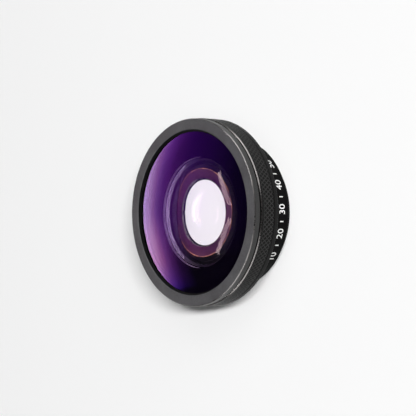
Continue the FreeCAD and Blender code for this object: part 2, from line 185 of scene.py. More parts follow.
def planeLength(tree, across, along):
    squares = valueNode(tree, "ADD", valueNode(tree, "MULTIPLY", across, across),
                        valueNode(tree, "MULTIPLY", along, along))
    return valueNode(tree, "SQRT", squares)


def clamped(tree, source):
    return valueNode(tree, "MAXIMUM", valueNode(tree, "MINIMUM", source, 1.0), 0.0)


def makeGrooveTree():
    # pushes the surface inwards along slanting lines and keeps how deep each point went as "cut"
    tree = bpy.data.node_groups.new("cutGrooves", "GeometryNodeTree")
    tree.interface.new_socket("Geometry", in_out="INPUT", socket_type="NodeSocketGeometry")
    for label in ("Count", "Slope", "Width", "Depth", "Low", "High", "Fade", "Crossed", "Least Radius"):
        tree.interface.new_socket(label, in_out="INPUT", socket_type="NodeSocketFloat")
    tree.interface.new_socket("Finish", in_out="INPUT", socket_type="NodeSocketMaterial")
    tree.interface.new_socket("Geometry", in_out="OUTPUT", socket_type="NodeSocketGeometry")
    start = tree.nodes.new("NodeGroupInput")
    end = tree.nodes.new("NodeGroupOutput")
    place = tree.nodes.new("GeometryNodeInputPosition")
    split = tree.nodes.new("ShaderNodeSeparateXYZ")
    tree.links.new(place.outputs[0], split.inputs[0])
    across, along, level = split.outputs
    radius = planeLength(tree, across, along)
    fullTurns = valueNode(tree, "DIVIDE", valueNode(tree, "ARCTAN2", along, across), 2 * math.pi)
    turns = valueNode(tree, "MULTIPLY", fullTurns, start.outputs["Count"])
    rise = valueNode(tree, "MULTIPLY", valueNode(tree, "SUBTRACT", level, start.outputs["Low"]),
                     start.outputs["Slope"])

    def groove(phase):
        # 1 in the middle of a groove and 0 past its width
        fromMiddle = valueNode(tree, "SUBTRACT", valueNode(tree, "FRACT", phase), 0.5)
        halfWidth = valueNode(tree, "MULTIPLY", start.outputs["Width"], 0.5)
        share = valueNode(tree, "DIVIDE", valueNode(tree, "ABSOLUTE", fromMiddle), halfWidth)
        return valueNode(tree, "SUBTRACT", 1.0, valueNode(tree, "MINIMUM", share, 1.0))

    oneWay = groove(valueNode(tree, "ADD", turns, rise))
    otherWay = valueNode(tree, "MULTIPLY", groove(valueNode(tree, "SUBTRACT", turns, rise)),
                         start.outputs["Crossed"])
    cut = valueNode(tree, "MAXIMUM", oneWay, otherWay)
    fromLow = valueNode(tree, "DIVIDE", valueNode(tree, "SUBTRACT", level, start.outputs["Low"]),
                        start.outputs["Fade"])
    fromHigh = valueNode(tree, "DIVIDE", valueNode(tree, "SUBTRACT", start.outputs["High"], level),
                         start.outputs["Fade"])
    inside = clamped(tree, valueNode(tree, "MINIMUM", fromLow, fromHigh))
    outer = valueNode(tree, "GREATER_THAN", radius, start.outputs["Least Radius"])
    shownCut = valueNode(tree, "MULTIPLY", valueNode(tree, "MULTIPLY", cut, inside), outer)
    depth = valueNode(tree, "MULTIPLY", shownCut, start.outputs["Depth"])
    share = valueNode(tree, "SUBTRACT", 1.0, valueNode(tree, "DIVIDE", depth, radius))
    moved = tree.nodes.new("ShaderNodeCombineXYZ")
    tree.links.new(valueNode(tree, "MULTIPLY", across, share), moved.inputs[0])
    tree.links.new(valueNode(tree, "MULTIPLY", along, share), moved.inputs[1])
    tree.links.new(level, moved.inputs[2])
    keepCut = tree.nodes.new("GeometryNodeStoreNamedAttribute")
    keepCut.inputs["Name"].default_value = "cut"
    tree.links.new(start.outputs["Geometry"], keepCut.inputs["Geometry"])
    tree.links.new(shownCut, keepCut.inputs["Value"])
    setPlace = tree.nodes.new("GeometryNodeSetPosition")
    tree.links.new(keepCut.outputs[0], setPlace.inputs["Geometry"])
    tree.links.new(moved.outputs[0], setPlace.inputs["Position"])
    realize = tree.nodes.new("GeometryNodeRealizeInstances")
    tree.links.new(setPlace.outputs[0], realize.inputs[0])
    setMaterial = tree.nodes.new("GeometryNodeSetMaterial")
    tree.links.new(realize.outputs[0], setMaterial.inputs["Geometry"])
    tree.links.new(start.outputs["Finish"], setMaterial.inputs["Material"])
    tree.links.new(setMaterial.outputs[0], end.inputs[0])
    return tree


def plainMesh(thing):
    # the finished shape of an object as a mesh of its own
    bpy.context.view_layer.update()
    shown = thing.evaluated_get(bpy.context.evaluated_depsgraph_get())
    return bpy.data.meshes.new_from_object(shown)


def shapedMesh(mesh, tree, values):
    # runs a node tree over a mesh and gives back the plain result
    holder = newObject("shaping", mesh)
    modifier = holder.modifiers.new("shaping", "NODES")
    modifier.node_group = tree
    for item in tree.interface.items_tree:
        if item.in_out == "INPUT" and item.name in values:
            modifier[item.identifier] = values[item.name]
    result = plainMesh(holder)
    holder.modifiers.remove(modifier)
    bpy.data.objects.remove(holder)
    return result


def paintFaces(mesh, materials, rule):
    # the rule picks each face's finish, by its place in the list, from the face's radius and level
    mesh.materials.clear()
    for material in materials:
        mesh.materials.append(material)
    for polygon in mesh.polygons:
        centre = polygon.center
        polygon.material_index = rule(math.hypot(centre.x, centre.y) / mm, centre.z / mm)


grooveTree = makeGrooveTree()
cutMargin = 0.02  # grooves are cut only on walls this close to their radius


def grooved(mesh, grooves, radius, levels, finish):
    # a mesh with grooves cut into its wall at a radius, between two levels
    values = dict(grooves, Finish=finish)
    values["Least Radius"] = (radius - cutMargin) * mm
    values["Low"], values["High"] = levels[0] * mm, levels[1] * mm
    for label in ("Depth", "Fade"):
        values[label] = grooves[label] * mm
    return shapedMesh(mesh, grooveTree, values)


# Shared effects on the surfaces

turnedGrainValues = {
    "ringDetail": 3.0,
    "grainDetail": 2.0,
    "toneScale": 140.0,  # slow patches of tone
    "toneDetail": 3.0,
    "toneShare": 0.6,
}
edgeWearAndReflectionValues = {
    "chipScale": 900.0,
    "chipDetail": 4.0,
    "chipStart": 0.35,  # level of the noise at which the edge line starts
    "chipContrast": 3.0,
}
dustValues = {
    "speckSize": 0.12,
    "patchScale": 260.0,
    "patchDetail": 1.0,
    "patchStart": 0.56,  # specks lie only where the slow noise is above this
}


def newGroup(name, inputs, outputs):
    group = bpy.data.node_groups.new(name, "ShaderNodeTree")
    group.interface.new_socket("Place", in_out="INPUT", socket_type="NodeSocketVector")
    for label, number in inputs.items():
        socket = group.interface.new_socket(label, in_out="INPUT", socket_type="NodeSocketFloat")
        socket.default_value = number
    for label in outputs:
        group.interface.new_socket(label, in_out="OUTPUT", socket_type="NodeSocketFloat")
    return group, group.nodes.new("NodeGroupInput"), group.nodes.new("NodeGroupOutput")


def splitPlace(group, place):
    split = group.nodes.new("ShaderNodeSeparateXYZ")
    group.links.new(place, split.inputs[0])
    return planeLength(group, split.outputs[0], split.outputs[1]), split.outputs[2]


def noiseNode(group, vector, scale, detail):
    noise = group.nodes.new("ShaderNodeTexNoise")
    noise.inputs["Detail"].default_value = detail
    if isinstance(scale, (int, float)):
        noise.inputs["Scale"].default_value = scale
    else:
        group.links.new(scale, noise.inputs["Scale"])
    group.links.new(vector, noise.inputs["Vector"])
    return noise.outputs[0]


def makeTurnedGrain():
    # fine lathe rings with a blasted grain over them
    inputs = {"Ring Density": 4000.0, "Grain Scale": 6000.0, "Ring Share": 0.5}
    group, start, end = newGroup("turnedGrain", inputs, ("Height", "Tone"))
    radius, level = splitPlace(group, start.outputs["Place"])
    rings = group.nodes.new("ShaderNodeCombineXYZ")
    group.links.new(radius, rings.inputs[0])
    group.links.new(level, rings.inputs[1])
    values = turnedGrainValues
    place = start.outputs["Place"]
    ringNoise = noiseNode(group, rings.outputs[0], start.outputs["Ring Density"], values["ringDetail"])
    grainNoise = noiseNode(group, place, start.outputs["Grain Scale"], values["grainDetail"])
    toneNoise = noiseNode(group, place, values["toneScale"], values["toneDetail"])
    ringPart = valueNode(group, "MULTIPLY", ringNoise, start.outputs["Ring Share"])
    grainShare = valueNode(group, "SUBTRACT", 1.0, start.outputs["Ring Share"])
    grainPart = valueNode(group, "MULTIPLY", grainNoise, grainShare)
    height = valueNode(group, "ADD", ringPart, grainPart)
    tone = valueNode(group, "ADD", valueNode(group, "MULTIPLY", toneNoise, values["toneShare"]),
                     valueNode(group, "MULTIPLY", height, 1 - values["toneShare"]))
    group.links.new(height, end.inputs["Height"])
    group.links.new(tone, end.inputs["Tone"])
    return group


def makeEdgeWearAndReflection():
    # a thin broken line along one round edge: bare metal on worn edges, a painted reflection round the cap
    inputs = {"Edge Radius": 0.026, "Edge Level": 0.021, "Spread": 0.0002, "Amount": 0.5}
    group, start, end = newGroup("edgeWear", inputs, ("Mask",))
    radius, level = splitPlace(group, start.outputs["Place"])
    sideways = valueNode(group, "SUBTRACT", radius, start.outputs["Edge Radius"])
    upwards = valueNode(group, "SUBTRACT", level, start.outputs["Edge Level"])
    distance = planeLength(group, sideways, upwards)
    share = valueNode(group, "MINIMUM", valueNode(group, "DIVIDE", distance, start.outputs["Spread"]), 1.0)
    near = valueNode(group, "SUBTRACT", 1.0, share)
    values = edgeWearAndReflectionValues
    chips = noiseNode(group, start.outputs["Place"], values["chipScale"], values["chipDetail"])
    aboveStart = valueNode(group, "SUBTRACT", chips, values["chipStart"])
    chipped = valueNode(group, "MULTIPLY", aboveStart, values["chipContrast"])
    shown = valueNode(group, "MULTIPLY", near, clamped(group, chipped))
    mask = valueNode(group, "MULTIPLY", shown, start.outputs["Amount"])
    group.links.new(mask, end.inputs["Mask"])
    return group


def makeDustSpecks():
    # sparse pale specks
    group, start, end = newGroup("dustSpecks", {"Scale": 900.0, "Amount": 0.2}, ("Mask",))
    cells = group.nodes.new("ShaderNodeTexVoronoi")
    group.links.new(start.outputs["Place"], cells.inputs["Vector"])
    group.links.new(start.outputs["Scale"], cells.inputs["Scale"])
    speck = valueNode(group, "LESS_THAN", cells.outputs["Distance"], dustValues["speckSize"])
    patches = noiseNode(group, start.outputs["Place"], dustValues["patchScale"], dustValues["patchDetail"])
    inPatch = valueNode(group, "GREATER_THAN", patches, dustValues["patchStart"])
    shown = valueNode(group, "MULTIPLY", speck, inPatch)
    mask = valueNode(group, "MULTIPLY", shown, start.outputs["Amount"])
    group.links.new(mask, end.inputs["Mask"])
    return group


turnedGrain = makeTurnedGrain()
edgeWear = makeEdgeWearAndReflection()
dustSpecks = makeDustSpecks()
print("shared effects built")


# Finishes

surface = {
    "toneLow": 0.3,  # the noise lies between these two levels for the most part
    "toneHigh": 0.7,
    "reliefDepth": 0.02,
    "hazeScale": 60.0,
    "hazeDetail": 2.0,
    "dustColour": (0.5, 0.5, 0.5),
}


def emptyMaterial(name):
    material = bpy.data.materials.new(name)
    material.use_nodes = True
    tree = material.node_tree
    tree.nodes.clear()
    return material, tree, tree.nodes.new("ShaderNodeOutputMaterial")


def newFinish(name, settings):
    material, tree, output = emptyMaterial(name)
    shader = tree.nodes.new("ShaderNodeBsdfPrincipled")
    tree.links.new(shader.outputs[0], output.inputs["Surface"])
    for label, number in settings.items():
        shader.inputs[label].default_value = number
    place = tree.nodes.new("ShaderNodeTexCoord").outputs["Object"]
    return material, tree, shader, place


def placeGroup(tree, group, place, **values):
    # a value's name gives its socket: edgeRadius is Edge Radius
    node = tree.nodes.new("ShaderNodeGroup")
    node.node_tree = group
    tree.links.new(place, node.inputs["Place"])
    for label, number in values.items():
        words = "".join(" " + letter if letter.isupper() else letter for letter in label).strip()
        node.inputs[words[0].upper() + words[1:]].default_value = number
    return node


def mixColour(tree, share, first, second):
    mix = tree.nodes.new("ShaderNodeMix")
    mix.data_type = "RGBA"
    tree.links.new(share, mix.inputs["Factor"])
    for socket, source in ((mix.inputs["A"], first), (mix.inputs["B"], second)):
        if isinstance(source, tuple):
            socket.default_value = (*source, 1.0)
        else:
            tree.links.new(source, socket)
    return mix.outputs["Result"]


def mapRange(tree, source, low, high):
    node = tree.nodes.new("ShaderNodeMapRange")
    tree.links.new(source, node.inputs["Value"])
    node.inputs["From Min"].default_value = surface["toneLow"]
    node.inputs["From Max"].default_value = surface["toneHigh"]
    node.inputs["To Min"].default_value = low
    node.inputs["To Max"].default_value = high
    return node.outputs["Result"]


def turnedFinish(name, look, edges=()):
    # metal, paint or rubber: grain and rings in tone, roughness and relief, with worn edges, painted
    # reflection lines and painted light in the grooves
    material, tree, shader, place = newFinish(name, look["shader"])
    grain = placeGroup(tree, turnedGrain, place, ringDensity=look["ringDensity"],
                       grainScale=look["grainScale"], ringShare=look["ringShare"])
    tone = mapRange(tree, grain.outputs["Tone"], 0.0, 1.0)
    colour = mixColour(tree, tone, look["dark"], look["light"])
    for edge in edges:
        wear = placeGroup(tree, edgeWear, place, edgeRadius=edge[0] * mm, edgeLevel=edge[1] * mm,
                          spread=look["wearAndReflectionWidth"] * mm, amount=look["wear"])
        colour = mixColour(tree, wear.outputs["Mask"], colour, look["bare"])
    # the grooves take a colour of their own: painted shade in the bezel's hatch, a painted highlight along
    # the knurl
    if "grooves" in look:
        cut = tree.nodes.new("ShaderNodeAttribute")
        cut.attribute_name = "cut"
        colour = mixColour(tree, cut.outputs["Fac"], colour, look["grooves"])
    tree.links.new(colour, shader.inputs["Base Color"])
    tree.links.new(mapRange(tree, grain.outputs["Tone"], *look["roughness"]), shader.inputs["Roughness"])
    bump = tree.nodes.new("ShaderNodeBump")
    bump.inputs["Strength"].default_value = look["relief"]
    bump.inputs["Distance"].default_value = surface["reliefDepth"] * mm
    tree.links.new(grain.outputs["Height"], bump.inputs["Height"])
    tree.links.new(bump.outputs[0], shader.inputs["Normal"])
    return material


satinLook = {
    "shader": {"Specular IOR Level": 0.2},
    "dark": (0.031, 0.033, 0.035),
    "light": (0.075, 0.078, 0.081),
    "bare": (0.30, 0.30, 0.31),
    "ringDensity": 5000.0,
    "grainScale": 2600.0,
    "ringShare": 0.2,
    "roughness": (0.36, 0.46),
    "relief": 0.35,
    "wear": 0.35,
    "wearAndReflectionWidth": 0.14,
}
# the hatch grooves are darker than the band: painted shade in the grooves
sideLook = dict(satinLook, dark=(0.016, 0.016, 0.016), light=(0.026, 0.026, 0.026),
                grooves=(0.006, 0.006, 0.006), shader={"Specular IOR Level": 0.3},
                roughness=(0.3, 0.4))
# the knurl's lines are lighter than its diamonds: a painted highlight for the light its ridges catch
gripLook = dict(satinLook, dark=(0.002, 0.002, 0.002), light=(0.004, 0.004, 0.004),
                grooves=(0.052, 0.052, 0.051), shader={"Specular IOR Level": 0.07},
                roughness=(0.3, 0.4))
bandLook = dict(satinLook, dark=(0.003, 0.003, 0.003), light=(0.007, 0.007, 0.007),
                shader={"Specular IOR Level": 0.1}, roughness=(0.35, 0.45), wear=0.2)
edgeLook = dict(satinLook, dark=(0.13, 0.124, 0.122), light=(0.18, 0.172, 0.17),
                shader={"Metallic": 1.0}, roughness=(0.24, 0.32), relief=0.15)
barrelLook = dict(satinLook, dark=(0.001, 0.001, 0.001), light=(0.003, 0.003, 0.003),
                  shader={"Specular IOR Level": 0.03}, roughness=(0.4, 0.5), wear=0.2)
mountLook = dict(barrelLook, light=(0.02, 0.02, 0.021))
insideLook = dict(satinLook, dark=(0.0015, 0.0015, 0.0015), light=(0.003, 0.003, 0.003),
                  shader={"Specular IOR Level": 0.1}, roughness=(0.65, 0.8))
paintLook = dict(insideLook, dark=(0.0004, 0.0004, 0.0005), light=(0.0009, 0.0008, 0.001),
                 shader={"Specular IOR Level": 0.0}, ringShare=0.0, relief=0.0)
frostedLook = dict(insideLook, dark=(0.34, 0.24, 0.45), light=(0.37, 0.26, 0.48),
                   shader={"Metallic": 1.0}, roughness=(0.5, 0.5), relief=0.0)
# the cap's dark rose is its anodising and in part a painted reflection of the coatings; its copper edge
# line is a painted reflection
roseLook = dict(satinLook, dark=(0.028, 0.007, 0.026), light=(0.048, 0.012, 0.036),
                bare=(0.95, 0.42, 0.20), roughness=(0.25, 0.35), wear=1.0, wearAndReflectionWidth=0.25)
rubberLook = dict(insideLook, dark=(0.012, 0.012, 0.012), light=(0.02, 0.02, 0.02), ringShare=0.1)
brassLook = dict(satinLook, dark=(0.42, 0.27, 0.09), light=(0.60, 0.42, 0.16),
                 shader={"Metallic": 1.0}, roughness=(0.3, 0.42))
steelLook = dict(brassLook, dark=(0.20, 0.20, 0.21), light=(0.32, 0.32, 0.33))

bezelSpan = spans["front_ring"]
gripSpan = spans["grip_ring"]
barrelSpan = spans["rear_barrel"]
mountSpan = spans["mount_ring"]

wearAndReflectionEdges = {
    "bezelOuter": 0.3,  # below the front face
    "bezelBore": 0.12,
    "gripRear": 0.3,  # above the rear face
    "barrelRear": 0.3,
    "capLine": (12.4, 12.8),  # radius and level of the copper line round the cap, a painted reflection
}
bezelEdges = ((bezelSpan["outer"], bezelSpan["high"] - wearAndReflectionEdges["bezelOuter"]),
              (bezelSpan["inner"], bezelSpan["high"] - wearAndReflectionEdges["bezelBore"]))
gripEdges = ((gripSpan["outer"], gripSpan["low"] + wearAndReflectionEdges["gripRear"]),)
barrelEdges = ((barrelSpan["outer"], barrelSpan["low"] + wearAndReflectionEdges["barrelRear"]),)
mountEdges = ((mountSpan["outer"], mountSpan["low"]),)

satinBezel = turnedFinish("satinBezel", satinLook, bezelEdges)
bezelSide = turnedFinish("bezelSide", sideLook)
cutEdge = turnedFinish("cutEdge", edgeLook)
knurledGrip = turnedFinish("knurledGrip", gripLook)
gripBand = turnedFinish("gripBand", bandLook, gripEdges)
printedBarrel = turnedFinish("printedBarrel", barrelLook, barrelEdges)
threadedMount = turnedFinish("threadedMount", mountLook, mountEdges)
mattInside = turnedFinish("mattInside", insideLook)
edgePaint = turnedFinish("edgePaint", paintLook)
frostedEdge = turnedFinish("frostedEdge", frostedLook)
roseCap = turnedFinish("roseCap", roseLook, (wearAndReflectionEdges["capLine"],))
softRubber = turnedFinish("softRubber", rubberLook)
rolledBrass = turnedFinish("rolledBrass", brassLook)
blackenedSteel = turnedFinish("blackenedSteel", steelLook)


def coatedGlass(name, look):
    # polished glass with a violet coating and a trace of dust
    material, tree, shader, place = newFinish(name, look["shader"])
    dust = placeGroup(tree, dustSpecks, place, scale=look["dustScale"], amount=look["dust"])
    haze = noiseNode(tree, place, surface["hazeScale"], surface["hazeDetail"])
    colour = mixColour(tree, mapRange(tree, haze, 0.0, 1.0), look["clear"], look["tinted"])
    colour = mixColour(tree, dust.outputs["Mask"], colour, surface["dustColour"])
    tree.links.new(colour, shader.inputs["Base Color"])
    return material


frontGlassLook = {
    "shader": {"IOR": 1.6, "Roughness": 0.0, "Transmission Weight": 1.0,
               "Specular Tint": (0.30, 0.0, 1.0, 1.0)},  # the coating tints what the glass reflects
    "clear": (0.97, 0.92, 1.00),
    "tinted": (0.95, 0.89, 0.99),
    "dustScale": 500.0,
    "dust": 0.1,
}
hollowGlassLook = dict(frontGlassLook, dust=0.0,
                       shader={"IOR": 1.6, "Roughness": 0.0, "Transmission Weight": 1.0,
                               "Specular Tint": (0.34, 0.27, 0.28, 1.0)})
rearGlassLook = dict(frontGlassLook, clear=(0.98, 0.96, 0.99), tinted=(0.97, 0.95, 0.98), dust=0.05,
                     shader={"IOR": 1.7, "Roughness": 0.0, "Transmission Weight": 1.0,
                             "Specular Tint": (0.0, 0.0, 0.0, 1.0)})
violetGlass = coatedGlass("violetGlass", frontGlassLook)
hollowGlass = coatedGlass("hollowGlass", hollowGlassLook)
rearGlass = coatedGlass("rearGlass", rearGlassLook)


inkLook = {
    "dark": (0.62, 0.62, 0.62),
    "light": (0.8, 0.8, 0.79),
    "roughness": (0.45, 0.6),
    "gloss": 0.3,
    "grainScale": 5000.0,
    "grainDetail": 3.0,
}


def whiteInk():
    material, tree, shader, place = newFinish("whiteInk", {"Specular IOR Level": inkLook["gloss"]})
    grain = noiseNode(tree, place, inkLook["grainScale"], inkLook["grainDetail"])
    colour = mixColour(tree, mapRange(tree, grain, 0.0, 1.0), inkLook["dark"], inkLook["light"])
    tree.links.new(colour, shader.inputs["Base Color"])
    tree.links.new(mapRange(tree, grain, *inkLook["roughness"]), shader.inputs["Roughness"])
    return material


printInk = whiteInk()
print("finishes made")


# Front bezel

bezel = {
    "chamfer": 0.2,
    "boreChamfer": 0.12,
    "skirtBore": 24.4,
    "skirtRadius": 25.1,
    "headRear": 19.2,
    "lip": 19.27,
    "lipRadius": 22.5,
    "lipLevel": 20.1,
    "boreRidges": 5,
    "hatchRows": 6,
    "hatch": {
        "Count": 300.0,
        "Slope": 900.0,  # grooves passed per metre of height
        "Width": 0.75,  # as a share of the space between two grooves
        "Depth": 0.05,
        "Fade": 0.1,
        "Crossed": 0.0,  # at 1 they are cut both ways
    },
    "boreEdge": 0.05,  # plain bore in front of the ridges
    "sideMargin": 0.12,  # faces this close to the outer radius are the side band
    "corner": 0.04,
    "segments": 1200,
}


def makeBezel():
    inner, outer, low, top = bezelSpan.values()
    outline = [(bezel["lipRadius"], bezel["lip"]), (bezel["skirtBore"], bezel["lip"]),
               (bezel["skirtBore"], low), (bezel["skirtRadius"], low),
               (bezel["skirtRadius"], bezel["headRear"]), (outer, bezel["headRear"]),
               (outer, top - bezel["chamfer"]), (outer - bezel["chamfer"], top),
               (inner + bezel["boreChamfer"], top), (inner, top - bezel["boreChamfer"])]
    outline = softened(outline, bezel["corner"])
    sideLevels = addRows(outline, outer, bezel["hatchRows"])
    boreHigh = top - bezel["boreChamfer"] - bezel["boreEdge"]
    pitch = (boreHigh - bezel["lipLevel"]) / bezel["boreRidges"]
    narrowing = (inner - bezel["lipRadius"]) / bezel["boreRidges"]
    outline.append((inner, boreHigh))
    for ridge in range(bezel["boreRidges"]):
        outline.append((inner - narrowing * ridge, boreHigh - pitch * (ridge + 1)))
        outline.append((inner - narrowing * (ridge + 1), boreHigh - pitch * (ridge + 1)))
    mesh = turnMesh("frontBezel", outline, bezel["segments"])
    mesh = grooved(mesh, bezel["hatch"], outer, sideLevels, satinBezel)

    def finishOf(radius, level):
        if radius > outer - bezel["sideMargin"] and level < top - bezel["chamfer"]:
            return 2 if level > bezel["headRear"] else 3
        if radius > outer - bezel["chamfer"] and level > top - bezel["chamfer"]:
            return 1
        return 0 if level > top - bezel["boreChamfer"] else 3

    paintFaces(mesh, [satinBezel, cutEdge, bezelSide, mattInside], finishOf)
    addPiece("frontBezel", mesh, [], ["front_ring"])


makeBezel()
print("front bezel made")


# Knurled grip ring

grip = {
    "frontChamfer": 0.3,
    "rearChamfer": 0.3,
    "bore": 25.15,
    "wallFront": 13.2,
    "lineLow": 13.8,
    "lineHigh": 14.05,
    "lineDepth": 0.15,
    "knurlGap": 0.1,  # from the turned line to the knurl
    "knurlMargin": 0.7,  # from the knurl to the front face
    "knurlRows": 30,
    "knurl": {
        "Count": 132.0,
        "Slope": 640.0,
        "Width": 0.22,
        "Depth": 0.14,
        "Fade": 0.15,
        "Crossed": 1.0,
    },
    "finishMargin": 0.02,
    "corner": 0.05,
    "segments": 1056,
}


def makeGrip():
    inner, outer, low, top = gripSpan.values()
    lineMiddle = (grip["lineLow"] + grip["lineHigh"]) / 2
    outline = [(inner, low), (outer - grip["rearChamfer"], low), (outer, low + grip["rearChamfer"]),
               (outer, grip["lineLow"]), (outer - grip["lineDepth"], lineMiddle), (outer, grip["lineHigh"]),
               (outer, top - grip["frontChamfer"]), (outer - grip["frontChamfer"], top),
               (grip["bore"], top), (grip["bore"], grip["wallFront"]), (inner, grip["wallFront"])]
    outline = softened(outline, grip["corner"])
    knurlLevels = (grip["lineHigh"] + grip["knurlGap"], top - grip["knurlMargin"])
    addRows(outline, outer, grip["knurlRows"], knurlLevels)
    mesh = turnMesh("gripRing", outline, grip["segments"])
    mesh = grooved(mesh, grip["knurl"], outer, knurlLevels, knurledGrip)

    def finishOf(radius, level):
        if level > top - grip["frontChamfer"]:
            return 1 if radius > outer - grip["frontChamfer"] - grip["finishMargin"] else 3
        if radius < outer - grip["rearChamfer"] - grip["finishMargin"]:
            return 3
        return 2 if level < grip["lineLow"] else 0

    paintFaces(mesh, [knurledGrip, cutEdge, gripBand, mattInside], finishOf)
    addPiece("gripRing", mesh, [], ["grip_ring"])


makeGrip()
print("grip ring made")


# Rear barrel with its printed scale

barrel = {
    "chamfer": 0.3,
    "plugBore": 19.14,
    "plugTop": 5.4,
    "jointBore": 20.04,
    "cellShelf": 9.0,
    "corner": 0.05,
    "segments": 360,
}


def makeBarrel():
    inner, outer, low, top = barrelSpan.values()
    outline = [(inner, barrel["plugTop"]), (barrel["plugBore"], barrel["plugTop"]),
               (barrel["plugBore"], low), (outer - barrel["chamfer"], low),
               (outer, low + barrel["chamfer"]), (outer, top), (barrel["jointBore"], top),
               (barrel["jointBore"], barrel["cellShelf"]), (inner, barrel["cellShelf"])]
    mesh = turnMesh("rearBarrel", softened(outline, barrel["corner"]), barrel["segments"])
    addPiece("rearBarrel", mesh, [printedBarrel], ["rear_barrel"])


# Printed scale: numbers with short bars between them, bent round the barrel

printedScale = {
    "numbers": ("10", "20", "30", "40", "50"),
    "spread": 37.2,  # degrees to each side
    "middle": 2.9,
    "baseline": 4.75,
    "height": 2.1,
    "bold": 0.0,
    "roundSteps": 6,  # points on each curve of a figure
    "barWidth": 0.28,
    "barLow": 0.2,  # ends of a bar as shares of the height
    "barHigh": 0.8,
    "inkDepth": 0.05,
    "inkRise": 0.02,
    "step": 0.25,  # longest flat stretch of ink before it is bent
    "longest": 4.0,  # no number is longer than this
    "mergeDistance": 1e-5,
}


def flatNumber(words):
    # one number as a flat mesh, its left end at 0, with the height of its figures in millimetres
    curve = bpy.data.curves.new("figures", "FONT")
    curve.body = words
    curve.offset = printedScale["bold"]
    curve.extrude = 0.5  # the depth is set below
    curve.resolution_u = printedScale["roundSteps"]
    holder = newObject("figures", curve)
    mesh = plainMesh(holder)
    bpy.data.objects.remove(holder)
    lows = [min(vertex.co[axis] for vertex in mesh.vertices) for axis in range(3)]
    highs = [max(vertex.co[axis] for vertex in mesh.vertices) for axis in range(3)]
    scale = printedScale["height"] / (highs[1] - lows[1])
    for vertex in mesh.vertices:
        vertex.co.x = (vertex.co.x - lows[0]) * scale
        vertex.co.y = (vertex.co.y - lows[1]) * scale
        vertex.co.z = (vertex.co.z - lows[2]) / (highs[2] - lows[2])
    return mesh, (highs[0] - lows[0]) * scale


def bentPlace(along, up, out):
    # a place on the flat print, put on the barrel
    angle = along / barrelSpan["outer"]
    radius = barrelSpan["outer"] + printedScale["inkRise"] - printedScale["inkDepth"] * (1 - out)
    level = printedScale["baseline"] + up
    return (radius * mm * math.sin(angle), -radius * mm * math.cos(angle), level * mm)


def makeScale():
    builder = bmesh.new()
    numbers = printedScale["numbers"]
    steps = 2 * (len(numbers) - 1)
    for index in range(steps + 1):
        share = index / steps * 2 - 1  # -1 at the first number and 1 at the last
        centre = math.radians(printedScale["middle"] + share * printedScale["spread"]) * barrelSpan["outer"]
        if index % 2 == 0:
            mesh, width = flatNumber(numbers[index // 2])
            shift = centre - width / 2
        else:
            mesh, width = barMesh(), 0.0
            shift = centre
        piece = bmesh.new()
        piece.from_mesh(mesh)
        bmesh.ops.remove_doubles(piece, verts=piece.verts, dist=printedScale["mergeDistance"])
        for column in range(1, int(printedScale["longest"] / printedScale["step"])):
            bmesh.ops.bisect_plane(piece, geom=piece.verts[:] + piece.edges[:] + piece.faces[:],
                                   plane_co=(column * printedScale["step"], 0, 0), plane_no=(1, 0, 0))
        bmesh.ops.triangulate(piece, faces=piece.faces)
        for vertex in piece.verts:
            vertex.co = bentPlace(vertex.co.x + shift, vertex.co.y, vertex.co.z)
        bmesh.ops.recalc_face_normals(piece, faces=piece.faces)
        bent = bpy.data.meshes.new("bent")
        piece.to_mesh(bent)
        piece.free()
        builder.from_mesh(bent)
    mesh = bpy.data.meshes.new("printedScale")
    builder.to_mesh(mesh)
    builder.free()
    addPiece("printedScale", mesh, [printInk], [])


def barMesh():
    # a short closed bar, which marks the half step between two numbers
    half = printedScale["barWidth"] / 2
    low = printedScale["height"] * printedScale["barLow"]
    high = printedScale["height"] * printedScale["barHigh"]
    corners = []
    for out in (0, 1):
        corners += [(-half, low, out), (half, low, out), (half, high, out), (-half, high, out)]
    faces = [(0, 3, 2, 1), (4, 5, 6, 7), (0, 1, 5, 4), (1, 2, 6, 5), (2, 3, 7, 6), (3, 0, 4, 7)]
    mesh = bpy.data.meshes.new("bar")
    mesh.from_pydata(corners, [], faces)
    return mesh


makeBarrel()
makeScale()
print("barrel printed")


# Mount ring with its thread

mount = {
    "threadRadius": 18.5,
    "threadEnd": 3.0,
    "threadRows": 40,
    "thread": {
        "Count": -1.0,  # one right-hand groove
        "Slope": 1 / (0.75 * mm),  # one turn in each pitch of 0.75 mm
        "Width": 1.0,
        "Depth": 0.4,
        "Fade": 0.2,
        "Crossed": 0.0,
    },
    "chamfer": 0.3,
    "corner": 0.05,
    "segments": 240,
}


def makeMount():
    inner, outer, low, top = mountSpan.values()
    thread, end = mount["threadRadius"], mount["threadEnd"]
    outline = [(inner, low), (thread - mount["chamfer"], low), (thread, low + mount["chamfer"]),
               (thread, end), (outer, end), (outer, top), (inner, top)]
    outline = softened(outline, mount["corner"])
    threadLevels = addRows(outline, thread, mount["threadRows"])
    mesh = turnMesh("mountRing", outline, mount["segments"])
    mesh = grooved(mesh, mount["thread"], thread, threadLevels, threadedMount)
    addPiece("mountRing", mesh, [threadedMount], ["mount_ring"])


makeMount()
print("mount ring made")


# Front glass

glassSpan = spans["front_glass"]
frontGlass = {
    "frontCurve": 400.0,
    "crownRadius": 22.48,
    "crownDrop": 0.2,
    "hollowCurve": 52.0,
    "hollowRadius": 15.15,
    "landLevel": 19.02,
    "seat": 14.25,
    "stepRadius": 15.4,
    "skin": 0.02,  # keeps its painted edge off the faces that hold it
    "sharpAngle": 15,
    "curveSteps": 32,
    "segments": 256,
}


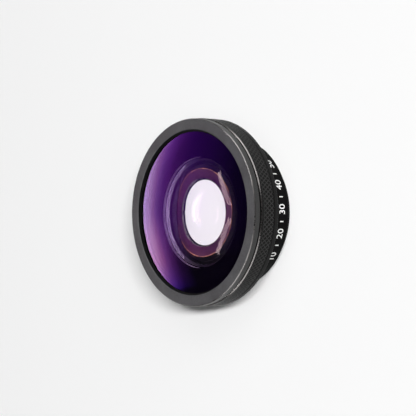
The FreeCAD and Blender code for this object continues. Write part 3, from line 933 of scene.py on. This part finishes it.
def makeFrontGlass():
    outer, low, top = glassSpan["outer"], glassSpan["low"], glassSpan["high"] - frontGlass["crownDrop"]
    curve, rim, skin = frontGlass["hollowCurve"], frontGlass["hollowRadius"], frontGlass["skin"]
    hollowVertex = low + curve - math.sqrt(curve * curve - rim * rim)
    hollow = curveLine(hollowVertex, curve, rim, frontGlass["curveSteps"])
    front = curveLine(top, frontGlass["frontCurve"], frontGlass["crownRadius"], frontGlass["curveSteps"])
    crownLevel = front[-1][1]
    step, seat, land = frontGlass["stepRadius"], frontGlass["seat"] + skin, frontGlass["landLevel"] - skin
    walls = [(step, low), (step, seat), (outer - skin, seat), (outer - skin, land),
             (frontGlass["crownRadius"], land)]
    outline = hollow + walls + front[::-1]

    def paintOf(radius, level):
        if radius < rim and level < frontGlass["landLevel"]:
            return 2
        if level > crownLevel:
            return 0
        return 1 if level in (low, seat, land) or level > frontGlass["landLevel"] else 3

    mesh = turnMesh("frontGlass", outline, frontGlass["segments"], closed=False, paintOf=paintOf)
    addPiece("frontGlass", mesh, [violetGlass, edgePaint, hollowGlass, frostedEdge],
             ["front_glass"], frontGlass["sharpAngle"])


makeFrontGlass()
print("front glass made")


# Rear doublet, cemented, so it shows as one piece of glass

crownSpan = spans["crown_element"]
flintSpan = spans["flint_element"]
doublet = {
    "frontCurve": 200.0,
    "rearCurve": 39.0,
    "rearRadius": 14.35,
    "rearEdge": 4.6,
    "paintMargin": 0.01,
    "sharpAngle": 15,
    "curveSteps": 28,
    "segments": 256,
}


def makeDoublet():
    rear = curveLine(flintSpan["low"], -doublet["rearCurve"], doublet["rearRadius"], doublet["curveSteps"])
    front = curveLine(crownSpan["high"], doublet["frontCurve"], crownSpan["outer"], doublet["curveSteps"])
    flintTop = flintSpan["high"]
    outline = rear + [(flintSpan["outer"], doublet["rearEdge"]), (flintSpan["outer"], flintTop),
                      (crownSpan["outer"], flintTop)] + front[::-1]

    def paintOf(radius, level):
        if radius > doublet["rearRadius"] + doublet["paintMargin"]:
            return 1
        onEdge = radius > crownSpan["outer"] - doublet["paintMargin"] and level > doublet["rearEdge"]
        return 1 if onEdge else 0

    mesh = turnMesh("rearDoublet", outline, doublet["segments"], closed=False, paintOf=paintOf)
    addPiece("rearDoublet", mesh, [rearGlass, edgePaint],
             ["crown_element", "flint_element"], doublet["sharpAngle"])


makeDoublet()
print("rear doublet made")


# Cap and stop, the rings seen through the front glass

capSpan = spans["cell_cap"]
stopSpan = spans["aperture_stop"]
cap = {
    "boreChamfer": 0.3,
    "skirtBore": 13.04,
    "flatRadius": 12.4,
    "bevelDrop": 0.7,
    "flatMargin": 0.05,
    "corner": 0.04,
    "segments": 256,
}


def makeCap():
    inner, outer, low, top = capSpan.values()
    seat = stopSpan["high"]
    outline = [(inner, seat), (cap["skirtBore"], seat), (cap["skirtBore"], low), (outer, low),
               (outer, top - cap["bevelDrop"]), (cap["flatRadius"], top), (inner + cap["boreChamfer"], top),
               (inner, top - cap["boreChamfer"])]
    mesh = turnMesh("cellCap", softened(outline, cap["corner"]), cap["segments"])

    def finishOf(radius, level):
        if radius < inner + cap["boreChamfer"] and level > top - cap["boreChamfer"]:
            return 1
        return 0 if radius < cap["flatRadius"] and level > top - cap["flatMargin"] else 2

    paintFaces(mesh, [roseCap, cutEdge, mattInside], finishOf)
    addPiece("cellCap", mesh, [], ["cell_cap"])


def makeStop():
    inner, outer, low, top = stopSpan.values()
    outline = [(inner, low), (outer, low), (outer, top), (inner, top)]
    mesh = turnMesh("apertureStop", outline, cap["segments"])
    addPiece("apertureStop", mesh, [mattInside], ["aperture_stop"])


makeCap()
makeStop()
print("cap and stop made")


# Parts that stay as the frame has them

keptFinishes = {
    "main_barrel": mattInside,
    "lens_cell": mattInside,
    "light_baffle": mattInside,
    "rear_retaining_ring": threadedMount,
    "front_gasket": softRubber,
    "front_seal": softRubber,
    "cell_seal": softRubber,
    "mount_seal": softRubber,
    "seat_shim": rolledBrass,
    "flint_shim": rolledBrass,
    "cell_screws": blackenedSteel,
}
for node, finish in keptFinishes.items():
    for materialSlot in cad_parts[node].material_slots:
        materialSlot.material = finish
print("kept nodes finished")


# Floor, light and camera

studio = {
    "floorSize": 8.0,
    "floorColour": (0.93, 0.93, 0.93),
    "floorGlow": 0.02,  # share of the floor's own white in what the camera sees
    "roomColour": (0.05, 0.05, 0.05),
    "cardStrength": 7.0,
    "cardRise": 0.9,  # how the card's upper edge climbs towards its upper end
    "cardSlope": 0.21,  # and towards its lower end
    "cardStart": 0.05,  # how far behind the lens a direction has to point to meet the card
    "cardBend": 0.35,  # sideways place past which the upper edge climbs no further
    "levelRange": (0.0, 1.0),  # ends of the ramps by height
    "sideRange": (-0.5, 0.5),  # ends of the ramps by sideways place
    "cardLevels": (  # height in the sky and colour of the pale card, white below and violet above
        (0.42, (0.00, 0.00, 0.00)),
        (0.47, (0.40, 0.38, 0.38)),
        (0.535, (1.20, 1.10, 1.00)),
        (0.550, (0.99, 0.82, 0.74)),
        (0.561, (0.63, 0.38, 0.47)),
        (0.572, (0.33, 0.17, 0.32)),
        (0.584, (0.15, 0.06, 0.17)),
        (0.600, (0.04, 0.015, 0.05)),
        (0.625, (0.00, 0.00, 0.00)),
    ),
    "cardTints": (  # sideways place, from its lower to its upper end, and tint of the card
        (-0.178, (0.00, 0.00, 0.00)),
        (-0.171, (0.06, 0.06, 0.09)),
        (-0.164, (0.40, 0.40, 0.85)),
        (-0.153, (0.70, 0.60, 1.00)),
        (-0.133, (0.95, 0.85, 0.95)),
        (-0.100, (1.25, 1.05, 0.90)),
        (-0.055, (1.20, 1.08, 0.95)),
        (0.000, (1.00, 1.00, 1.00)),
        (0.200, (1.00, 1.00, 1.00)),
        (0.350, (0.00, 0.00, 0.00)),
    ),
    "fadeLevels": (  # the faint violet above the card
        (0.560, (0.000, 0.000, 0.000)),
        (0.600, (0.105, 0.012, 0.110)),
        (0.650, (0.060, 0.002, 0.100)),
        (0.700, (0.028, 0.001, 0.052)),
        (0.740, (0.007, 0.000, 0.015)),
        (0.800, (0.000, 0.000, 0.000)),
    ),
    "fadeTints": (
        (-0.110, (0.00, 0.00, 0.00)),
        (-0.020, (0.75, 0.75, 0.80)),
        (0.040, (1.00, 1.00, 1.00)),
        (0.300, (1.00, 1.00, 1.00)),
        (0.450, (0.00, 0.00, 0.00)),
    ),
}

# Strips and panels only show in gloss and glass, and the other two lamps only light
strip = {"distance": 0.5, "width": 0.038, "glow": 52.0, "colour": (1.0, 0.97, 0.97), "reflected": True}
panel = {"distance": 0.5, "width": 0.12, "colour": (1.0, 1.0, 1.0), "reflected": True}
lighting = {"distance": 4.0, "colour": (1.0, 1.0, 1.0), "reflected": False}
lamps = {
    "upperStrip": dict(strip, start=(0.617, 0.336, 0.712), end=(0.119, 0.059, 0.991)),
    "lowerStrip": dict(strip, start=(-0.62, 0.356, 0.70), end=(-0.096, 0.049, 0.994)),
    "upperPanel": dict(panel, start=(0.36, -0.59, 0.72), end=(0.90, 0.10, 0.37), glow=4.6),
    "lowerPanel": dict(panel, start=(-0.36, -0.59, 0.72), end=(-0.90, 0.10, 0.37), glow=3.6),
    "keyPanel": dict(lighting, start=(0.132, -0.852, 0.547), end=(0.132, -0.638, 0.785), width=0.24,
                     glow=205.0),
    "widePanel": dict(lighting, start=(0.22, -0.98, 0.34), end=(0.22, -0.36, 0.99), width=4.0, glow=1.15),
}


def makeFloor():
    size = studio["floorSize"] / 2
    mesh = bpy.data.meshes.new("floor")
    corners = [(-size, -size, 0), (size, -size, 0), (size, size, 0), (-size, size, 0)]
    mesh.from_pydata(corners, [], [(0, 1, 2, 3)])
    floor = newObject("floor", mesh)
    material, tree, output = emptyMaterial("paleFloor")
    paint = tree.nodes.new("ShaderNodeBsdfDiffuse")
    paint.inputs["Color"].default_value = (*studio["floorColour"], 1.0)
    glow = tree.nodes.new("ShaderNodeEmission")
    path = tree.nodes.new("ShaderNodeLightPath")
    seenInGlass = valueNode(tree, "MAXIMUM", path.outputs["Is Glossy Ray"],
                            path.outputs["Is Transmission Ray"])
    seenPlain = valueNode(tree, "MULTIPLY", path.outputs["Is Camera Ray"], studio["floorGlow"])
    mix = tree.nodes.new("ShaderNodeMixShader")
    tree.links.new(valueNode(tree, "MAXIMUM", seenInGlass, seenPlain), mix.inputs[0])
    tree.links.new(paint.outputs[0], mix.inputs[1])
    tree.links.new(glow.outputs[0], mix.inputs[2])
    tree.links.new(mix.outputs[0], output.inputs["Surface"])
    mesh.materials.append(material)


def colourRamp(tree, source, stops, ends):
    # a ramp between two values of its source, whose colours may be brighter than white
    low, high = ends
    ramp = tree.nodes.new("ShaderNodeValToRGB")
    elements = ramp.color_ramp.elements
    elements.remove(elements[-1])
    for index, (place, colour) in enumerate(stops):
        element = elements[0] if index == 0 else elements.new(1.0)
        element.position = (place - low) / (high - low)
        element.color = (*colour, 1.0)
    share = valueNode(tree, "DIVIDE", valueNode(tree, "SUBTRACT", source, low), high - low)
    tree.links.new(share, ramp.inputs[0])
    return ramp.outputs[0]


def vectorNode(tree, operation, first, second):
    node = tree.nodes.new("ShaderNodeVectorMath")
    node.operation = operation
    for socket, source in zip(node.inputs, (first, second)):
        if isinstance(source, tuple):
            socket.default_value = source
        else:
            tree.links.new(source, socket)
    return node.outputs[0]


def makeWorld():
    # a dim room with one pale card behind the lens, which fades upwards
    world = bpy.data.worlds.new("studio")
    world.use_nodes = True
    tree = world.node_tree
    direction = tree.nodes.new("ShaderNodeTexCoord").outputs["Generated"]
    split = tree.nodes.new("ShaderNodeSeparateXYZ")
    tree.links.new(direction, split.inputs[0])
    across, along, height = split.outputs
    behind = valueNode(tree, "GREATER_THAN", along, studio["cardStart"])
    sideways = valueNode(tree, "DIVIDE", across, valueNode(tree, "MAXIMUM", along, studio["cardStart"]))
    upwards = valueNode(tree, "MAXIMUM", valueNode(tree, "MINIMUM", sideways, studio["cardBend"]), 0.0)
    downwards = valueNode(tree, "MAXIMUM", valueNode(tree, "MULTIPLY", sideways, -1.0), 0.0)
    squared = valueNode(tree, "MULTIPLY", upwards, upwards)
    shift = valueNode(tree, "ADD", valueNode(tree, "MULTIPLY", squared, studio["cardRise"]),
                      valueNode(tree, "MULTIPLY", downwards, studio["cardSlope"]))
    level = valueNode(tree, "SUBTRACT", height, shift)
    card = vectorNode(tree, "MULTIPLY",
                      colourRamp(tree, level, studio["cardLevels"], studio["levelRange"]),
                      colourRamp(tree, sideways, studio["cardTints"], studio["sideRange"]))
    fade = vectorNode(tree, "MULTIPLY",
                      colourRamp(tree, height, studio["fadeLevels"], studio["levelRange"]),
                      colourRamp(tree, sideways, studio["fadeTints"], studio["sideRange"]))
    shown = valueNode(tree, "MULTIPLY", behind, studio["cardStrength"])
    strength = tree.nodes.new("ShaderNodeCombineXYZ")
    for socket in strength.inputs:
        tree.links.new(shown, socket)
    colour = vectorNode(tree, "MULTIPLY", vectorNode(tree, "ADD", card, fade), strength.outputs[0])
    total = vectorNode(tree, "ADD", colour, studio["roomColour"])
    tree.links.new(total, tree.nodes["Background"].inputs["Color"])
    scene.world = world
    world.cycles_visibility.diffuse = False


def makeLamps():
    for name, lamp in lamps.items():
        start = Vector(lamp["start"]).normalized() * lamp["distance"]
        end = Vector(lamp["end"]).normalized() * lamp["distance"]
        middle = (start + end) / 2
        sideAxis = (end - start).normalized()
        backAxis = (middle - sideAxis * middle.dot(sideAxis)).normalized()
        light = bpy.data.lights.new(name, "AREA")
        light.shape = "RECTANGLE"
        light.size = (end - start).length
        light.size_y = lamp["width"]
        light.energy = lamp["glow"] * math.pi * light.size * light.size_y
        light.color = lamp["colour"]
        holder = newObject(name, light)
        turn = Matrix((sideAxis, backAxis.cross(sideAxis), backAxis)).transposed().to_4x4()
        turn.translation = middle
        holder.matrix_world = turn
        holder.visible_diffuse = not lamp["reflected"]
        holder.visible_glossy = lamp["reflected"]


# The lens axis lies level in the picture, so the camera is rolled a quarter turn
view = {
    "axisTilt": 48.26,  # between the line of sight and the lens axis, in degrees
    "axisLean": 0.52,
    "focalPixels": 1200.0,
    "imageSide": 416,
    "faceAcross": 189.72,  # centre of the bezel's face, in pixels from the left
    "faceDown": 212.36,
    "pixelSize": 0.2776,  # millimetres at the bezel's face
    "sensor": 36.0,
    "nearest": 0.01,
    "farthest": 50.0,
}


def makeCamera():
    tilt, lean = math.radians(view["axisTilt"]), math.radians(view["axisLean"])
    axis = Vector((math.sin(tilt) * math.cos(lean), math.sin(lean), math.cos(tilt) * math.cos(lean)))
    near = Vector((math.cos(tilt), 0, -math.sin(tilt)))
    near = (near - axis * near.dot(axis)).normalized()
    third = axis.cross(near)
    toRow = Matrix((-third, -near, -axis))
    middle = view["imageSide"] / 2
    faceInView = Vector((view["faceAcross"] - middle, view["faceDown"] - middle, view["focalPixels"]))
    faceCentre = Vector((0, 0, bezelSpan["high"] * mm))
    camera = newObject("camera", bpy.data.cameras.new("camera"))
    camera.data.sensor_width = view["sensor"]
    camera.data.lens = view["focalPixels"] * view["sensor"] / view["imageSide"]
    camera.data.clip_start = view["nearest"]
    camera.data.clip_end = view["farthest"]
    toBlender = Matrix(((1, 0, 0), (0, -1, 0), (0, 0, -1)))
    turn = (toRow @ toBlender).to_4x4()
    turn.translation = faceCentre - toRow @ faceInView * view["pixelSize"] * mm
    camera.matrix_world = turn
    scene.camera = camera


makeFloor()
makeWorld()
makeLamps()
makeCamera()
scene.view_settings.view_transform = "Standard"
print("stage ready")
